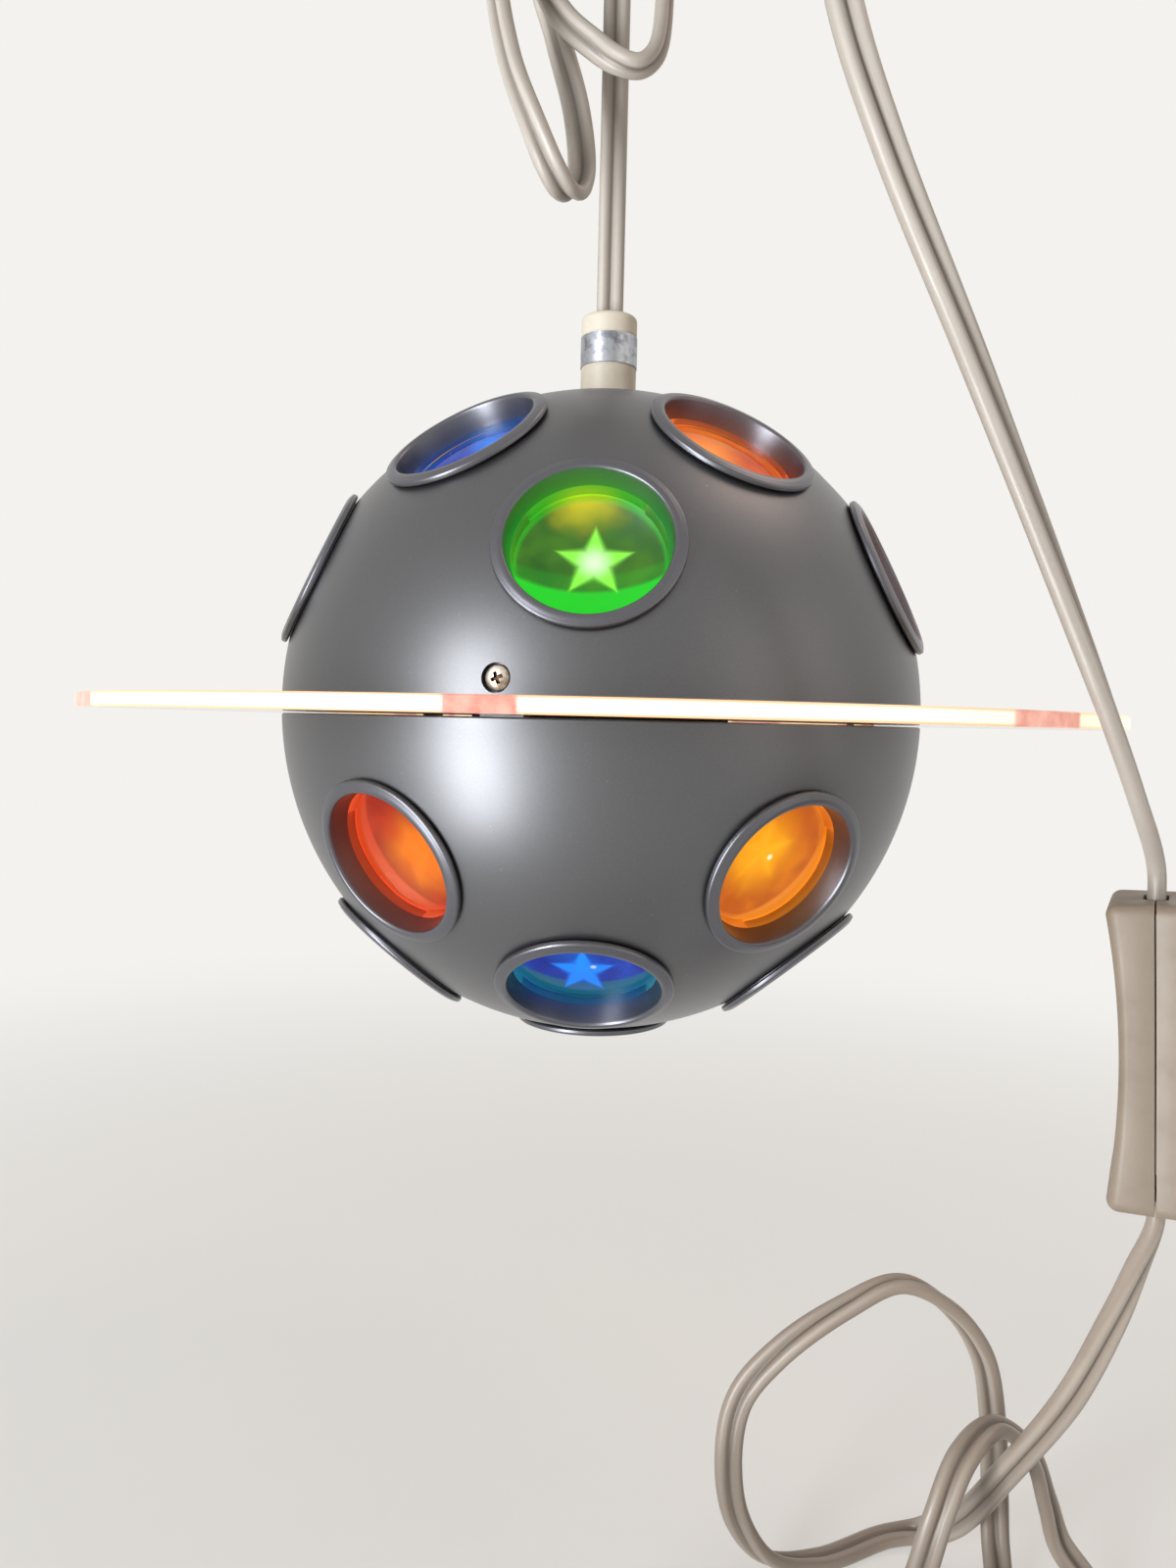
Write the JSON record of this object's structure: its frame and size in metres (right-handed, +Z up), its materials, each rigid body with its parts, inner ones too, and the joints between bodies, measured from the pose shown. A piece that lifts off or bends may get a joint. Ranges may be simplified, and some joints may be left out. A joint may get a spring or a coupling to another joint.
{
  "type": "star projector lamp",
  "caption": "Hanging ball lamp with coloured lenses over a star mask, a clear light ring round its middle, and an inline rocker switch on its flat cord.",
  "frame": {"origin": "hang point, where the cord leaves what the lamp hangs from, straight above the middle of the ball", "axes": "+Z up along the ball's axis, -Y towards the front, where a green lens sits right over the ring, +X to the right"},
  "size_m": [0.2538, 0.2759, 0.4329],
  "materials": {
    "shell_paint": "satin silver-grey metallic paint",
    "bezel_paint": "satin dark silver metallic paint",
    "clear_acrylic": "clear, polished edge that glows from inside",
    "mask_plastic": "dark, matt",
    "socket_plastic": "cream, matt",
    "bulb_glass": "frosted",
    "grip_plastic": "cream, satin, with a plain silvered band",
    "screw_steel": "bright, with a dark recess",
    "cord_plastic": "pale beige, slightly translucent",
    "switch_plastic": "beige-grey, fine satin",
    "rocker_plastic": "beige-grey, satin",
    "plug_plastic": "beige, satin",
    "plug_brass": "plain, satin",
    "lens_green": "clear, tinted green",
    "lens_blue": "clear, tinted blue",
    "lens_orange": "clear, tinted orange",
    "lens_red": "clear, tinted orange-red",
    "lens_amber": "clear, tinted amber"
  },
  "bodies": {
    "root": {"cord_drop": "cord_plastic", "switch_case_front": "switch_plastic", "switch_case_back": "switch_plastic", "cord_tail": "cord_plastic", "cord_coil": "cord_plastic", "plug": "plug_plastic"},
    "strand": {"cord_strand": "cord_plastic"},
    "lamp": {"upper_shell": "shell_paint", "lower_shell": "shell_paint", "light_ring": "clear_acrylic", "star_mask": "mask_plastic", "lamp_socket": "socket_plastic", "bulb": "bulb_glass", "cord_grip": "grip_plastic", "shell_screw_1": "screw_steel", "shell_screw_2": "screw_steel", "shell_screw_3": "screw_steel", "bezel_upper_1": "bezel_paint", "lens_upper_1": "lens_green", "bezel_upper_2": "bezel_paint", "lens_upper_2": "lens_red", "bezel_upper_3": "bezel_paint", "lens_upper_3": "lens_amber", "bezel_upper_4": "bezel_paint", "lens_upper_4": "lens_blue", "bezel_upper_5": "bezel_paint", "lens_upper_5": "lens_orange", "bezel_top_1": "bezel_paint", "lens_top_1": "lens_orange", "bezel_top_2": "bezel_paint", "lens_top_2": "lens_green", "bezel_top_3": "bezel_paint", "lens_top_3": "lens_red", "bezel_top_4": "bezel_paint", "lens_top_4": "lens_amber", "bezel_top_5": "bezel_paint", "lens_top_5": "lens_blue", "bezel_lower_1": "bezel_paint", "lens_lower_1": "lens_amber", "bezel_lower_2": "bezel_paint", "lens_lower_2": "lens_blue", "bezel_lower_3": "bezel_paint", "lens_lower_3": "lens_green", "bezel_lower_4": "bezel_paint", "lens_lower_4": "lens_orange", "bezel_lower_5": "bezel_paint", "lens_lower_5": "lens_red", "bezel_bottom_1": "bezel_paint", "lens_bottom_1": "lens_blue", "bezel_bottom_2": "bezel_paint", "lens_bottom_2": "lens_amber", "bezel_bottom_3": "bezel_paint", "lens_bottom_3": "lens_red", "bezel_bottom_4": "bezel_paint", "lens_bottom_4": "lens_green", "bezel_bottom_5": "bezel_paint", "lens_bottom_5": "lens_orange", "bezel_pole": "bezel_paint", "lens_pole": "lens_amber"},
    "rocker": {"switch_rocker": "rocker_plastic"}
  },
  "joints": [
    {"name": "lamp_swing", "type": "hinge", "parent": "root", "child": "strand", "pos_m": [0, 0, 0], "axis": [0.7709, -0.6369, 0], "range_deg": [-12, 12]},
    {"name": "lamp_twist", "type": "hinge", "parent": "strand", "child": "lamp", "pos_m": [0, 0, -0.0854], "axis": [0, 0, 1], "range_deg": [-180, 180], "stiffness_Nm_per_rad": 0.003},
    {"name": "rocker_tilt", "type": "hinge", "parent": "root", "child": "rocker", "pos_m": [0.11465, -0.07749, -0.24827], "axis": [0.3955, 0.9184, 0], "range_deg": [0, 16]}
  ]
}
